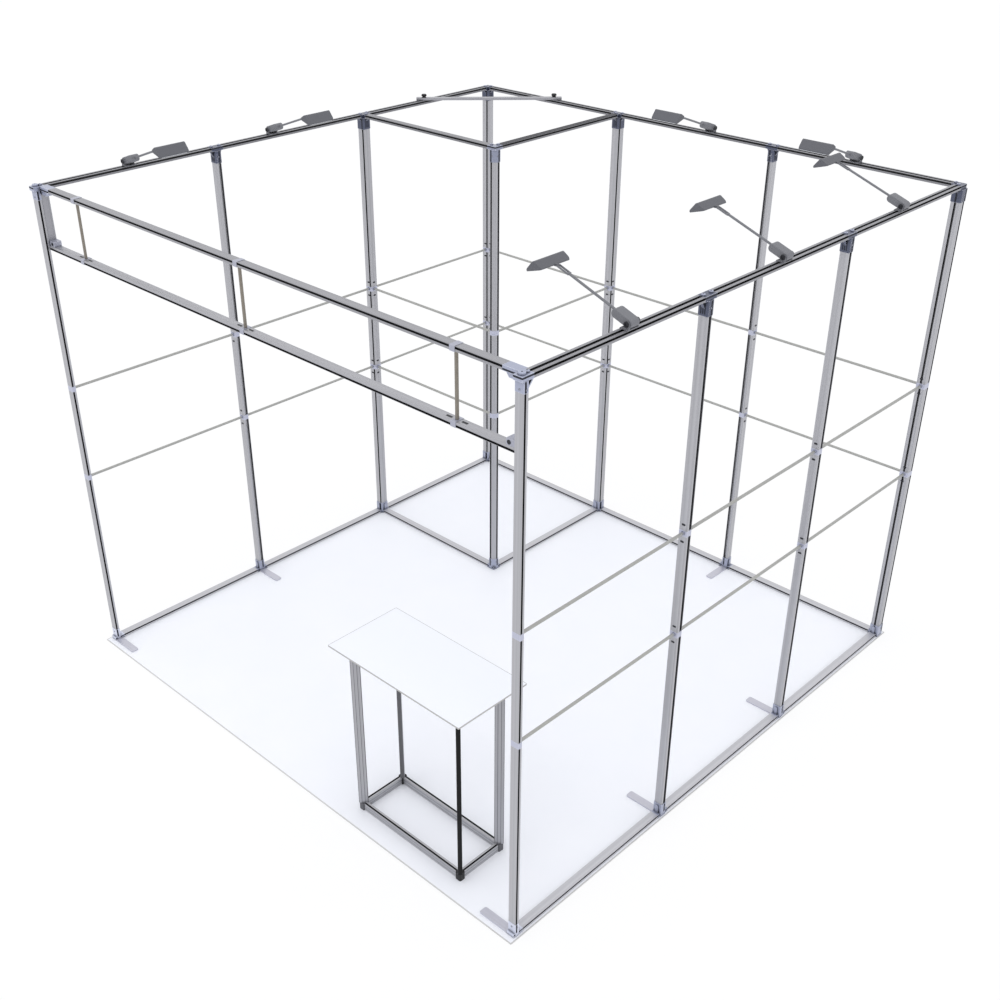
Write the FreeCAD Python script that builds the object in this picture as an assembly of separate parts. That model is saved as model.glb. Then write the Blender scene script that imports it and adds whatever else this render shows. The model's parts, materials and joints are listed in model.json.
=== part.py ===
import FreeCAD, Part
import math
import os

# Modular exhibition stand: three framed walls on a one-metre grid, a storeroom in the back left corner,
# an open front with a header, a counter and seven arm floodlights.
# Millimetres, +Z up, the front faces -Y. The origin is on the ground under the middle of the floor sheet.

V = FreeCAD.Vector
UP = V(0, 0, 1)
RIGHT = V(1, 0, 0)
LEFT = V(-1, 0, 0)
BACK = V(0, 1, 0)
FRONT = V(0, -1, 0)

# Grid of the stand
bay_width = 1010.0
bay_depth = 995.0
frame_height = 2544.0
lower_brace_height = 1032.0
upper_brace_height = 1532.0
cut_overrun = 1.0

# Floor sheet
sheet_thickness = 4.0
sheet_side_overhang = 32.0
sheet_end_overhang = 50.0
sheet_corner = 3.0

# Slotted bar of the rails, the header and the end posts
bar_width = 40.0
bar_thickness = 20.0
bar_edge = 1.5
bar_wall = 2.0
slot_width = 8.5
slot_depth = 8.0
slot_lip = 1.5
lip_edge = 0.5
lamp_slot_width = 14.0
lamp_slot_depth = 6.0

# Posts within a wall, at wall junctions and at the storeroom's outer corner
wall_post_thickness = 30.0
wall_slot_width = 16.0
wall_slot_lip = 2.0
junction_side = 46.0
junction_slot_width = 11.0
junction_slot_lip = 3.0
inner_side = 36.0
inner_chamfer = 17.5
inner_slot_width = 11.0
inner_slot_depth = 6.0
inner_bore_radius = 7.5

# Joiners between the three lengths of a post, and the thin brace rails they carry
joiner_height = 27.0
joiner_proud = 0.3
brace_side = 11.0
brace_wall = 1.5
brace_edge = 2.0
socket_length = 5.0
socket_side = 14.0

# Connectors at the top and the foot of each post
node_reach = 36.0
collar_wall = 3.0
end_collar_wall = 1.2
collar_edge = 2.0
collar_fit = 0.2
top_collar_height = 62.0
end_collar_height = 42.0
top_collar_ceiling = 8.0
base_collar_height = 50.0
gusset_drop = 62.0
gusset_width = 10.0
gusset_window_share = 0.8
end_gusset_offset = 14.0
rib_groove_width = 3.0
rib_groove_depth = 1.5
rib_groove_length = 46.0
rib_groove_pitch = 9.0
lug_gap = 1.5
lug_thickness = 5.0
lug_width = 15.0
lug_height = 42.0
cap_radius = 9.0
cap_height = 6.0
cap_edge = 2.0
cap_reach = 24.0
cap_socket = 3.5
cap_socket_depth = 2.5
end_cap_radius = 14.0
end_cap_height = 9.0
screw_radius = 4.0
screw_height = 2.0
screw_rise = 30.0

# Foot plates
foot_reach = 180.0
foot_width = 40.0
foot_thickness = 8.0
foot_corner = 8.0

# Header across the open front
header_drop = 280.0
header_arm = 95.0
header_lip_start = 14.0
header_lip_end = 82.0
header_lip_slope = 14.0
header_lip_drop = 18.0
header_lip_width = 34.0
header_offset = 10.0
lower_beam_inset = 8.0
upright_place = 16.0
upright_foot_length = 62.0
upright_foot_height = 24.0
lock_radius = 8.0
lock_stand = 1.5
lock_hole = 4.5
lock_end = 14.0
strut_inset = 315.0
strut_side = 11.0
clip_length = 26.0
clip_wall = 1.2

# Tie bar across the storeroom's back corner, with two hand knobs
tie_reach = 530.0
tie_width = 30.0
tie_height = 14.0
tie_wall = 2.0
tie_edge = 2.0
tie_overhang = 44.0
knob_radius = 14.0
knob_waist = 9.0
knob_foot = 4.0
knob_height = 18.0
knob_edge = 3.0
knob_gap = 0.3
stud_radius = 4.0
stud_fit = 0.08
stud_depth = 4.0

# Counter
counter_x = 819.0
counter_y = -1306.0
counter_height = 936.0
counter_top_length = 800.0
counter_top_depth = 400.0
counter_top_thickness = 6.0
counter_top_corner = 4.0
counter_frame_length = 668.0
counter_frame_depth = 278.0
corner_block = 32.0
corner_block_edge = 7.0

# Arm floodlights
lamp_rise = 19.5
pivot_height = 21.5
pivot_offset = 10.0
clamp_length = 62.0
clamp_width = 40.0
clamp_thickness = 3.0
clamp_corner = 4.0
ear_radius = 10.0
ear_thickness = 5.0
ear_gap = 0.5
pin_radius = 4.0
pin_fit = 0.06
pin_head_radius = 11.0
pin_head_height = 4.0
pin_recess_radius = 6.0
housing_length = 78.0
housing_width = 46.0
housing_thickness = 34.0
housing_heel = 15.0
housing_nose = 15.5
housing_edge = 4.0
rod_radius = 5.0
rod_socket = 20.0
rod_fit = 0.1
arm_reach = 357.0
fork_length = 56.0
fork_bridge = 9.0
prong_thickness = 3.0
prong_height = 7.0
prong_gap = 0.4
fork_pin_radius = 2.0
fork_pin_stand = 1.5
knuckle_width = 10.0
knuckle_radius = 4.5
head_length = 158.0
head_stand = 8.0
head_apex_reach = 42.0
head_apex_rise = 26.0
head_tip_reach = 84.0
head_tip_drop = 25.0
head_heel_round = 3.0
head_apex_round = 10.0
head_tip_round = 5.0
head_corner = 18.0
glass_border = 8.0
glass_recess = 3.0


# How each post is made and turned, and its place in bays from the middle of the stand
END, WALL, JUNCTION, INNER = "end", "wall", "junction", "inner"
posts = {
    "post_front_left": (END, LEFT),
    "post_left_middle": (WALL, RIGHT),
    "post_left_storeroom": (JUNCTION, RIGHT),
    "post_back_left": (JUNCTION, RIGHT),
    "post_back_storeroom": (JUNCTION, RIGHT),
    "post_back_middle": (WALL, BACK),
    "post_back_right": (JUNCTION, RIGHT),
    "post_right_rear": (WALL, RIGHT),
    "post_right_middle": (WALL, RIGHT),
    "post_front_right": (END, LEFT),
    "post_storeroom_corner": (INNER, RIGHT),
}
post_place_shares = {
    "post_front_left": (-1.5, -1.5),
    "post_left_middle": (-1.5, -0.5),
    "post_left_storeroom": (-1.5, 0.5),
    "post_back_left": (-1.5, 1.5),
    "post_back_storeroom": (-0.5, 1.5),
    "post_back_middle": (0.5, 1.5),
    "post_back_right": (1.5, 1.5),
    "post_right_rear": (1.5, 0.5),
    "post_right_middle": (1.5, -0.5),
    "post_front_right": (1.5, -1.5),
    "post_storeroom_corner": (-0.5, 0.5),
}
walls = {
    "left": ("post_front_left", "post_left_middle", "post_left_storeroom", "post_back_left"),
    "back": ("post_back_left", "post_back_storeroom", "post_back_middle", "post_back_right"),
    "right": ("post_front_right", "post_right_middle", "post_right_rear", "post_back_right"),
    "storeroom": ("post_left_storeroom", "post_storeroom_corner", "post_back_storeroom"),
}
header_ends = {"post_front_left": RIGHT, "post_front_right": LEFT}
footed_posts = {
    "post_front_left": RIGHT,
    "post_left_middle": RIGHT,
    "post_back_middle": FRONT,
    "post_front_right": LEFT,
    "post_right_middle": LEFT,
    "post_right_rear": LEFT,
}
lamps = {
    "lamp_left_front": ("post_front_left", "post_left_middle", RIGHT),
    "lamp_left_middle": ("post_left_middle", "post_left_storeroom", RIGHT),
    "lamp_back_middle": ("post_back_storeroom", "post_back_middle", FRONT),
    "lamp_back_right": ("post_back_middle", "post_back_right", FRONT),
    "lamp_right_front": ("post_front_right", "post_right_middle", LEFT),
    "lamp_right_middle": ("post_right_middle", "post_right_rear", LEFT),
    "lamp_right_rear": ("post_right_rear", "post_back_right", LEFT),
}
lamp_place_shares = {
    "lamp_left_front": 0.5,
    "lamp_left_middle": 0.37,
    "lamp_back_middle": 0.606,
    "lamp_back_right": 0.456,
    "lamp_right_front": 0.544,
    "lamp_right_middle": 0.512,
    "lamp_right_rear": 0.438,
}
junction_slot_reach = (junction_side - junction_slot_width) / 2 - junction_slot_lip
side_slots = {
    "post_left_storeroom": ((FRONT, junction_slot_reach),),
    "post_back_left": ((FRONT, junction_slot_reach),),
    "post_back_storeroom": ((RIGHT, -junction_slot_reach),),
    "post_back_right": ((FRONT, 0), (RIGHT, junction_slot_reach)),
    "post_storeroom_corner": ((FRONT, -inner_chamfer / 2), (RIGHT, inner_chamfer / 2)),
}
brace_heights = (lower_brace_height, upper_brace_height)
base_level = sheet_thickness + bar_thickness
top_level = frame_height - bar_thickness
post_top = top_level - top_collar_ceiling
header_top = frame_height - header_drop
header_setback = (bar_thickness + bar_width) / 2


def placed(shape, origin, x_axis, z_axis):
    """The shape moved so that its own X and Z lie along the given directions."""
    y_axis = z_axis.cross(x_axis)
    matrix = FreeCAD.Matrix(
        x_axis.x, y_axis.x, z_axis.x, origin.x,
        x_axis.y, y_axis.y, z_axis.y, origin.y,
        x_axis.z, y_axis.z, z_axis.z, origin.z,
        0, 0, 0, 1)
    moved = shape.copy()
    moved.Placement = FreeCAD.Placement(matrix).multiply(shape.Placement)
    return moved


def outline(corners):
    """A closed flat wire through (x, y, radius) corners, each rounded by its radius."""
    firsts, lasts, arcs = [], [], []
    count = len(corners)
    for index, (x, y, radius) in enumerate(corners):
        here = V(x, y, 0)
        before = V(*corners[index - 1][:2], 0) - here
        after = V(*corners[(index + 1) % count][:2], 0) - here
        before.normalize()
        after.normalize()
        half_angle = before.getAngle(after) / 2
        reach = radius / math.tan(half_angle)
        firsts.append(here + before * reach)
        lasts.append(here + after * reach)
        inward = before + after
        if radius > 0:
            inward.normalize()
            middle = here + inward * (radius / math.sin(half_angle) - radius)
            arcs.append(Part.Arc(firsts[-1], middle, lasts[-1]).toShape())
        else:
            arcs.append(None)
    edges = []
    for index in range(count):
        if arcs[index]:
            edges.append(arcs[index])
        edges.append(Part.makeLine(lasts[index], firsts[(index + 1) % count]))
    return Part.Wire(edges)


def rectangle(width, depth, radius):
    """The rounded corners of a rectangle about the origin."""
    x, y = width / 2, depth / 2
    return [(-x, -y, radius), (x, -y, radius), (x, y, radius), (-x, y, radius)]


def extrusion(wires, length):
    """A straight bar of the outline, with the further wires as hollow chambers."""
    face = Part.makeFace(wires, "Part::FaceMakerBullseye")
    return face.extrude(UP * length)


def plate(corners, low, high):
    """An upright prism of the outline between two heights."""
    solid = extrusion([outline(corners)], high - low)
    solid.translate(UP * low)
    return solid


def slab(corners, width):
    """A prism of an outline drawn in X and Z, as wide as given along Y and centred on it."""
    solid = extrusion([outline(corners)], width)
    return placed(solid, V(0, width / 2, 0), RIGHT, FRONT)


def crossbar(radius, length, x=0, z=0):
    """A round bar along Y, centred on it."""
    return Part.makeCylinder(radius, length, V(x, -length / 2, z), BACK)


def box(start, end, width, low, high):
    """A block from start to end along X, centred on Y, between two heights."""
    return Part.makeBox(end - start, width, high - low, V(start, -width / 2, low))


def rounded(solid, radius, chosen):
    """The solid with the chosen edges rounded."""
    return solid.makeFillet(radius, [edge for edge in solid.Edges if chosen(edge)])


def level_edges(height):
    """A test for the edges that lie flat at one height."""
    return lambda edge: all(abs(vertex.Z - height) < cut_overrun / 2 for vertex in edge.Vertexes)


def end_edges(reach):
    """A test for the edges that lie in either end face of a slab."""
    return lambda edge: all(abs(abs(vertex.Y) - reach) < cut_overrun / 2 for vertex in edge.Vertexes)


def fused(solids):
    """One solid of overlapping ones."""
    return solids[0].fuse(solids[1:]).removeSplitter()


def save(name, solids):
    """One file for a piece, or for a group of separate like pieces."""
    shape = solids[0] if len(solids) == 1 else Part.makeCompound(solids)
    shape.exportStep("parts/" + name + ".step")


def post_place(name):
    x_share, y_share = post_place_shares[name]
    return V(x_share * bay_width, y_share * bay_depth, 0)


def post_size(kind):
    """Width and thickness of a post of the given make."""
    return {
        END: (bar_width, bar_thickness),
        WALL: (bar_width, wall_post_thickness),
        JUNCTION: (junction_side, junction_side),
        INNER: (inner_side, inner_side),
    }[kind]


def post_outline(kind, margin, edge):
    """The outer corners of a post, moved out by the margin."""
    width, thickness = post_size(kind)
    corners = rectangle(width + 2 * margin, thickness + 2 * margin, edge)
    if kind == INNER:
        half = inner_side / 2 + margin
        cut = inner_chamfer + margin * (2 - math.sqrt(2))
        corners[1:2] = [(half - cut, -half, edge), (half, cut - half, edge)]
    return corners


def half_extent(name, direction):
    """How far a post reaches from its middle along a wall direction."""
    kind, x_axis = posts[name]
    width, thickness = post_size(kind)
    return width / 2 if abs(direction.dot(x_axis)) > abs(direction.dot(UP.cross(x_axis))) else thickness / 2


def slotted_bar(width, thickness, slot, lip, length, lamp_slot=False):
    """A hollow bar with a slot along both narrow faces, and one along the +Y face for lamps."""
    x, y = width / 2, thickness / 2
    high = y - lip
    low = high - slot
    floor = x - slot_depth
    edge = min(bar_edge, lip / 2)
    corners = [(-x, -y, bar_edge), (x, -y, bar_edge), (x, low, lip_edge), (floor, low, 0), (floor, high, 0)]
    corners += [(x, high, lip_edge), (x, y, edge)]
    chamber_top = y - bar_wall
    if lamp_slot:
        side, sill = lamp_slot_width / 2, y - lamp_slot_depth
        chamber_top = sill - bar_wall
        corners += [(side, y, lip_edge), (side, sill, 0), (-side, sill, 0), (-side, y, lip_edge)]
    corners += [(-x, y, edge), (-x, high, lip_edge), (-floor, high, 0), (-floor, low, 0), (-x, low, lip_edge)]
    inner = floor - bar_wall
    bottom = bar_wall - y
    chamber = [(-inner, bottom, 0), (inner, bottom, 0), (inner, chamber_top, 0), (-inner, chamber_top, 0)]
    return extrusion([outline(corners), outline(chamber)], length)


def side_slotted_post(name, kind, length):
    """A hollow corner post with slots on chosen faces."""
    shell = [outline(post_outline(kind, 0, bar_edge))]
    if kind == JUNCTION:
        hollow = junction_side - 2 * (slot_depth + bar_wall)
        shell.append(outline(rectangle(hollow, hollow, bar_edge)))
        width, depth, half = junction_slot_width, slot_depth, junction_side / 2
    else:
        shell.append(Part.Wire(Part.makeCircle(inner_bore_radius)))
        width, depth, half = inner_slot_width, inner_slot_depth, inner_side / 2
    post = extrusion(shell, length)
    for face, offset in side_slots[name]:
        slot = Part.makeBox(depth + cut_overrun, width, length, V(half - depth, offset - width / 2, 0))
        post = post.cut(placed(slot, V(0, 0, 0), face, UP))
    return post


def post_length(name, low, high):
    """One length of a post between two heights, standing at its place."""
    kind, x_axis = posts[name]
    length = high - low
    if kind == END:
        bar = slotted_bar(bar_width, bar_thickness, slot_width, slot_lip, length)
    elif kind == WALL:
        bar = slotted_bar(bar_width, wall_post_thickness, wall_slot_width, wall_slot_lip, length)
    else:
        bar = side_slotted_post(name, kind, length)
    return placed(bar, post_place(name) + UP * low, x_axis, UP)


def post(name):
    """The three lengths of a post, with room for a joiner between them."""
    half = joiner_height / 2
    heights = (base_level, lower_brace_height, upper_brace_height, post_top)
    lows = [heights[0], heights[1] + half, heights[2] + half]
    highs = [heights[1] - half, heights[2] - half, heights[3]]
    return [post_length(name, low, high) for low, high in zip(lows, highs)]


def spans(wall):
    """Each bay of a wall: its two posts and the direction from one to the other."""
    for first, second in zip(walls[wall], walls[wall][1:]):
        direction = post_place(second) - post_place(first)
        direction.normalize()
        yield first, second, direction


def wall_directions(name):
    """The directions in which walls leave a post."""
    found = []
    for wall in walls:
        for first, second, direction in spans(wall):
            if name == first:
                found.append(direction)
            if name == second:
                found.append(direction * -1)
    return found


def span_length(first, second):
    return (post_place(second) - post_place(first)).Length


def rails(wall, level, lamp_slot):
    """The slotted rails of a wall at one level, from connector to connector, slots near the top face."""
    bars = []
    for first, second, direction in spans(wall):
        length = span_length(first, second) - 2 * node_reach
        bar = slotted_bar(bar_width, bar_thickness, slot_width, slot_lip, length, lamp_slot)
        start = post_place(first) + direction * node_reach + UP * level
        bars.append(placed(bar, start, UP.cross(direction), direction))
    return bars


def top_rails(wall):
    return rails(wall, frame_height - bar_thickness / 2, wall != "storeroom")


def base_rails(wall):
    return rails(wall, sheet_thickness + bar_thickness / 2, False)


def brace_rails(wall):
    """Two thin square tubes in each bay, seated in the sockets of the joiners."""
    tubes = []
    inner = brace_side - 2 * brace_wall
    outside = outline(rectangle(brace_side, brace_side, brace_edge))
    inside = outline(rectangle(inner, inner, brace_edge - brace_wall))
    for first, second, direction in spans(wall):
        start = half_extent(first, direction) + joiner_proud + socket_length
        end = half_extent(second, direction) + joiner_proud + socket_length
        tube = extrusion([outside, inside], span_length(first, second) - start - end)
        for height in brace_heights:
            origin = post_place(first) + direction * start + UP * height
            tubes.append(placed(tube, origin, UP.cross(direction), direction))
    return tubes


def joiner(name, height):
    """The band between two lengths of a post, with a socket for each brace rail."""
    kind, x_axis = posts[name]
    low, high = height - joiner_height / 2, height + joiner_height / 2
    band = plate(post_outline(kind, joiner_proud, bar_edge), low, high)
    pieces = [placed(band, post_place(name), x_axis, UP)]
    for direction in wall_directions(name):
        reach = half_extent(name, direction) + joiner_proud + socket_length
        socket = box(0, reach, socket_side, height - socket_side / 2, height + socket_side / 2)
        pieces.append(placed(socket, post_place(name), direction, UP))
    return fused(pieces)


def pocket(name, low, high):
    """The room that a connector leaves for the end of a post."""
    kind, x_axis = posts[name]
    return placed(plate(post_outline(kind, collar_fit, lip_edge), low, high), post_place(name), x_axis, UP)


def sleeve_wall(name):
    """How far a connector's sleeve stands out from its post."""
    return end_collar_wall if posts[name][0] == END else collar_wall


def collar(name, low, high, rounded_level):
    """The sleeve round the end of a post, with one rounded rim."""
    kind, x_axis = posts[name]
    wall = sleeve_wall(name)
    sleeve = plate(post_outline(kind, wall, bar_edge + wall), low, high)
    sleeve = rounded(sleeve, min(collar_edge, wall / 2), level_edges(rounded_level))
    return placed(sleeve, post_place(name), x_axis, UP)


def free_faces(name):
    """The faces of a post that carry no rail."""
    taken = wall_directions(name)
    if name in header_ends:
        taken.append(header_ends[name])
    return [way for way in (RIGHT, BACK, LEFT, FRONT) if all(way.dot(other) <= 0 for other in taken)]


def rib_grooves(name):
    """Upright grooves on the free faces of a thick top collar."""
    grooves = []
    low = top_level - top_collar_height - cut_overrun
    high = low + rib_groove_length
    for face in free_faces(name):
        surface = half_extent(name, face) + collar_wall
        for side in (-1, 1):
            groove = box(surface - rib_groove_depth, surface + cut_overrun, rib_groove_width, low, high)
            groove.translate(BACK * side * rib_groove_pitch)
            grooves.append(placed(groove, post_place(name), face, UP))
    return grooves


def hub(low, high):
    """The square middle of a connector."""
    return box(-bar_width / 2, bar_width / 2, bar_width, low, high)


def header_sleeve():
    """The arm of an end connector that meets the header's top beam."""
    return box(bar_width / 2, header_arm, bar_width, top_level, frame_height)


def header_lip():
    """The sloped lip under the arm to the header."""
    low = top_level - header_lip_drop
    corners = [(header_lip_start, top_level, 0), (header_lip_start, low, 0)]
    corners += [(header_lip_end - header_lip_slope, low, 0), (header_lip_end, top_level, 0)]
    return slab(corners, header_lip_width)


def corner_web(drop, share):
    """The given share of the triangle between a sleeve and an arm."""
    corners = [(0, top_level, 0), (0, top_level - drop * share, 0), (node_reach * share, top_level, 0)]
    return slab(corners, gusset_width)


def gusset(drop):
    """The open strap in the corner between a sleeve and an arm."""
    return corner_web(drop, 1).cut(corner_web(drop, gusset_window_share))


def top_connector(name):
    """The casting over a post: a sleeve, an arm to each rail and a gusset under each arm."""
    place = post_place(name)
    at_end = name in header_ends
    height = end_collar_height if at_end else top_collar_height
    rim = top_level - height
    pieces = [collar(name, rim, top_level, rim)]
    pieces.append(placed(hub(top_level, frame_height), place, RIGHT, UP))
    for direction in wall_directions(name):
        outward = header_ends[name] * -end_gusset_offset if at_end else V(0, 0, 0)
        arm = box(0, node_reach, bar_width, top_level, frame_height)
        pieces.append(placed(arm, place, direction, UP))
        pieces.append(placed(gusset(min(gusset_drop, height)), place + outward, direction, UP))
    if at_end:
        spot = place + BACK * header_setback
        pieces += [placed(solid, spot, header_ends[name], UP) for solid in (header_sleeve(), header_lip())]
    casting = fused(pieces).cut(pocket(name, rim - cut_overrun, post_top))
    return casting if at_end else casting.cut(rib_grooves(name))


def lug(start):
    """An upright tab with a rounded top, beside the sleeve of a base connector."""
    low, high = base_level - cut_overrun, base_level + lug_height
    tab = plate(rectangle(lug_thickness, lug_width, 0), low, high - lug_width / 2)
    middle = V(-lug_thickness / 2, 0, high - lug_width / 2)
    tab = tab.fuse(Part.makeCylinder(lug_width / 2, lug_thickness, middle, RIGHT))
    tab.translate(RIGHT * (start + lug_thickness / 2))
    return tab


def base_connector(name):
    """The casting under a post: a block between the base rails, a sleeve and a tab over each arm."""
    place = post_place(name)
    rim = base_level + base_collar_height
    pieces = [collar(name, sheet_thickness, rim, rim)]
    pieces.append(placed(hub(sheet_thickness, base_level), place, RIGHT, UP))
    for direction in wall_directions(name):
        arm = box(0, node_reach, bar_width, sheet_thickness, base_level)
        start = half_extent(name, direction) + sleeve_wall(name) + lug_gap
        pieces += [placed(solid, place, direction, UP) for solid in (arm, lug(start))]
    return fused(pieces).cut(pocket(name, base_level, rim + cut_overrun))


def cap(radius, height):
    """A round lock cap with a rounded rim and a key hole in its middle."""
    body = rounded(Part.makeCylinder(radius, height), cap_edge, level_edges(height))
    hole = Part.makeCylinder(cap_socket, cap_socket_depth + cut_overrun, V(0, 0, height - cap_socket_depth))
    return body.cut(hole)


def lock_caps():
    """A cap on each arm of the top connectors, and a large one over each end post."""
    caps = []
    for name in posts:
        top = post_place(name) + UP * frame_height
        for direction in wall_directions(name):
            caps.append(placed(cap(cap_radius, cap_height), top + direction * cap_reach, RIGHT, UP))
        if name in header_ends:
            caps.append(placed(cap(end_cap_radius, end_cap_height), top, RIGHT, UP))
    return caps


def connector_screws():
    """A pan head screw on each free face of the sleeves."""
    screws = []
    low, high = base_level + screw_rise, top_level - screw_rise
    head = Part.makeCylinder(screw_radius, screw_height, V(0, 0, 0), RIGHT)
    for name in posts:
        for face in free_faces(name):
            surface = post_place(name) + face * (half_extent(name, face) + sleeve_wall(name))
            screws += [placed(head, surface + UP * height, face, UP) for height in (low, high)]
    return screws


def foot_plate(name):
    """A flat plate on the floor, from the base connector into the stand."""
    start = half_extent(name, footed_posts[name]) + sleeve_wall(name)
    half = foot_width / 2
    corners = [(start, -half, 0), (foot_reach, -half, foot_corner)]
    corners += [(foot_reach, half, foot_corner), (start, half, 0)]
    solid = plate(corners, sheet_thickness, sheet_thickness + foot_thickness)
    return placed(solid, post_place(name), footed_posts[name], UP)


def header_beam(reach, offset, level, slot_side):
    """A slotted beam across the whole front, against the backs of the front posts."""
    first, last = post_place("post_front_left"), post_place("post_front_right")
    start = first + V(reach - offset, header_setback, level)
    bar = slotted_bar(bar_width, bar_thickness, slot_width, slot_lip, last.x - first.x - 2 * reach)
    return placed(bar, start, slot_side.cross(RIGHT), RIGHT)


def upright_spots():
    """Where the header's short end uprights stand, just behind the front posts, and the way to the middle."""
    behind = BACK * (header_setback + end_collar_wall) - RIGHT * header_offset
    return [(post_place(name) + way * upright_place + behind, way) for name, way in header_ends.items()]


def header_uprights():
    """A short bar on edge between the header's beams at each end."""
    low = header_top + upright_foot_height
    bar = slotted_bar(bar_width, bar_thickness, slot_width, slot_lip, top_level - header_lip_drop - low)
    return [placed(bar, spot + UP * low, BACK, UP) for spot, way in upright_spots()]


def upright_feet():
    """The fittings under the short uprights, long towards the middle of the header."""
    middle = (upright_foot_length - bar_thickness) / 2
    corners = rectangle(upright_foot_length, bar_width, brace_edge)
    block = plate(corners, header_top, header_top + upright_foot_height)
    return [placed(block, spot + way * middle, RIGHT, UP) for spot, way in upright_spots()]


def header_locks():
    """A round lock on the front of each of these fittings."""
    reach = upright_foot_length - bar_thickness / 2 - lock_end
    height = header_top + upright_foot_height / 2
    ring = Part.makeCylinder(lock_radius, lock_stand)
    ring = ring.cut(Part.makeCylinder(lock_hole, lock_stand, V(0, 0, lock_stand / 2)))
    face = FRONT * (bar_width / 2) + UP * height
    return [placed(ring, spot + way * reach + face, RIGHT, FRONT) for spot, way in upright_spots()]


def strut_places():
    """Where the three header struts stand."""
    first, last = post_place("post_front_left"), post_place("post_front_right")
    reach = (last.x - first.x) / 2 - strut_inset
    return [V(step * reach - header_offset, first.y + header_setback, 0) for step in (-1, 0, 1)]


def header_struts():
    low, high = header_top + clip_wall, top_level - clip_wall
    return [placed(plate(rectangle(strut_side, strut_side, brace_edge), low, high), spot, RIGHT, UP)
            for spot in strut_places()]


def header_clips():
    """A thin band round the beam at both ends of each strut."""
    clips = []
    half, width = clip_length / 2, bar_width + 2 * clip_wall
    outer = box(-half, half, width, -clip_wall, bar_thickness + clip_wall)
    band = outer.cut(box(-clip_length, clip_length, bar_width, 0, bar_thickness))
    for spot in strut_places():
        for low in (header_top - bar_thickness, top_level):
            clips.append(placed(band, spot + UP * low, RIGHT, UP))
    return clips


def tie_ends():
    """Where the tie bar crosses the left and the back top rail."""
    corner = post_place("post_back_left") + UP * frame_height
    return corner + FRONT * tie_reach, corner + RIGHT * tie_reach


def tie_bar():
    """A hollow bar on top of both rails, with a hole for each knob's stud."""
    first, second = tie_ends()
    direction = second - first
    length = direction.Length + 2 * tie_overhang
    direction.normalize()
    outside = outline(rectangle(tie_width, tie_height, tie_edge))
    inside = outline(rectangle(tie_width - 2 * tie_wall, tie_height - 2 * tie_wall, 0))
    tube = extrusion([outside, inside], length)
    start = first - direction * tie_overhang + UP * tie_height / 2
    bar = placed(tube, start, UP.cross(direction), direction)
    depth = tie_height + 2 * cut_overrun
    for spot in (first, second):
        bar = bar.cut(Part.makeCylinder(stud_radius + stud_fit, depth, spot - UP * cut_overrun))
    return bar


def knob(spot):
    """A waisted hand knob with its stud, which reaches into the rail's lamp slot."""
    low = tie_height + knob_gap
    waist = low + knob_foot
    high = low + knob_height
    corners = [(0, -stud_depth, 0), (stud_radius, -stud_depth, 0), (stud_radius, low, 0)]
    corners += [(knob_radius, low, 0), (knob_waist, waist, 0), (knob_radius, waist + knob_foot, 0)]
    corners += [(knob_radius, high, knob_edge), (0, high, 0)]
    body = Part.Face(outline(corners)).revolve(V(0, 0, 0), BACK, 360)
    return placed(body, spot, RIGHT, FRONT)


counter_low = sheet_thickness + bar_width
counter_high = sheet_thickness + counter_height - counter_top_thickness - bar_width


def counter_corners():
    """The four corners of the counter's frame, with the outward diagonal of each."""
    x = (counter_frame_length - corner_block) / 2
    y = (counter_frame_depth - corner_block) / 2
    for side_x in (-1, 1):
        for side_y in (-1, 1):
            diagonal = V(side_x, side_y, 0)
            diagonal.normalize()
            yield V(counter_x + side_x * x, counter_y + side_y * y, 0), diagonal


def counter_top():
    low = sheet_thickness + counter_height - counter_top_thickness
    corners = rectangle(counter_top_length, counter_top_depth, counter_top_corner)
    top = plate(corners, low, low + counter_top_thickness)
    return placed(top, V(counter_x, counter_y, 0), RIGHT, UP)


def counter_posts():
    """Slotted bars set across the corners, broad faces along the diagonals."""
    bar = slotted_bar(bar_width, bar_thickness, slot_width, slot_lip, counter_high - counter_low)
    return [placed(bar, spot + UP * counter_low, diagonal, UP) for spot, diagonal in counter_corners()]


def counter_blocks():
    blocks = []
    for spot, diagonal in counter_corners():
        for low in (sheet_thickness, counter_high):
            block = plate(rectangle(corner_block, corner_block, corner_block_edge), low, low + bar_width)
            blocks.append(placed(block, spot, RIGHT, UP))
    return blocks


def counter_rails():
    """Four rails at the floor and four under the top, set on edge between the corner blocks."""
    bars = []
    corners = [spot for spot, diagonal in counter_corners()]
    for first, second in ((1, 0), (2, 3), (0, 2), (3, 1)):
        direction = corners[second] - corners[first]
        length = direction.Length - corner_block
        direction.normalize()
        bar = slotted_bar(bar_width, bar_thickness, slot_width, slot_lip, length)
        for low in (sheet_thickness, counter_high):
            start = corners[first] + direction * corner_block / 2 + UP * (low + bar_width / 2)
            bars.append(placed(bar, start, UP, direction))
    return bars


ear_place = housing_width / 2 + ear_gap + ear_thickness / 2
prong_place = knuckle_width / 2 + prong_gap + prong_thickness / 2
lamp_angle = math.radians(lamp_rise)
arm_way = V(math.cos(lamp_angle), 0, math.sin(lamp_angle))
arm_up = V(-math.sin(lamp_angle), 0, math.cos(lamp_angle))
lamp_pivot = V(-pivot_offset, 0, pivot_height)
head_pivot = lamp_pivot + arm_way * arm_reach


def lamp_on_rail(name, solid):
    """A lamp piece, drawn with the stand's inside along +X, set on its rail."""
    first, second, inward = lamps[name]
    spot = post_place(first) + (post_place(second) - post_place(first)) * lamp_place_shares[name]
    return placed(solid, spot + UP * frame_height, inward, UP)


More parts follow.
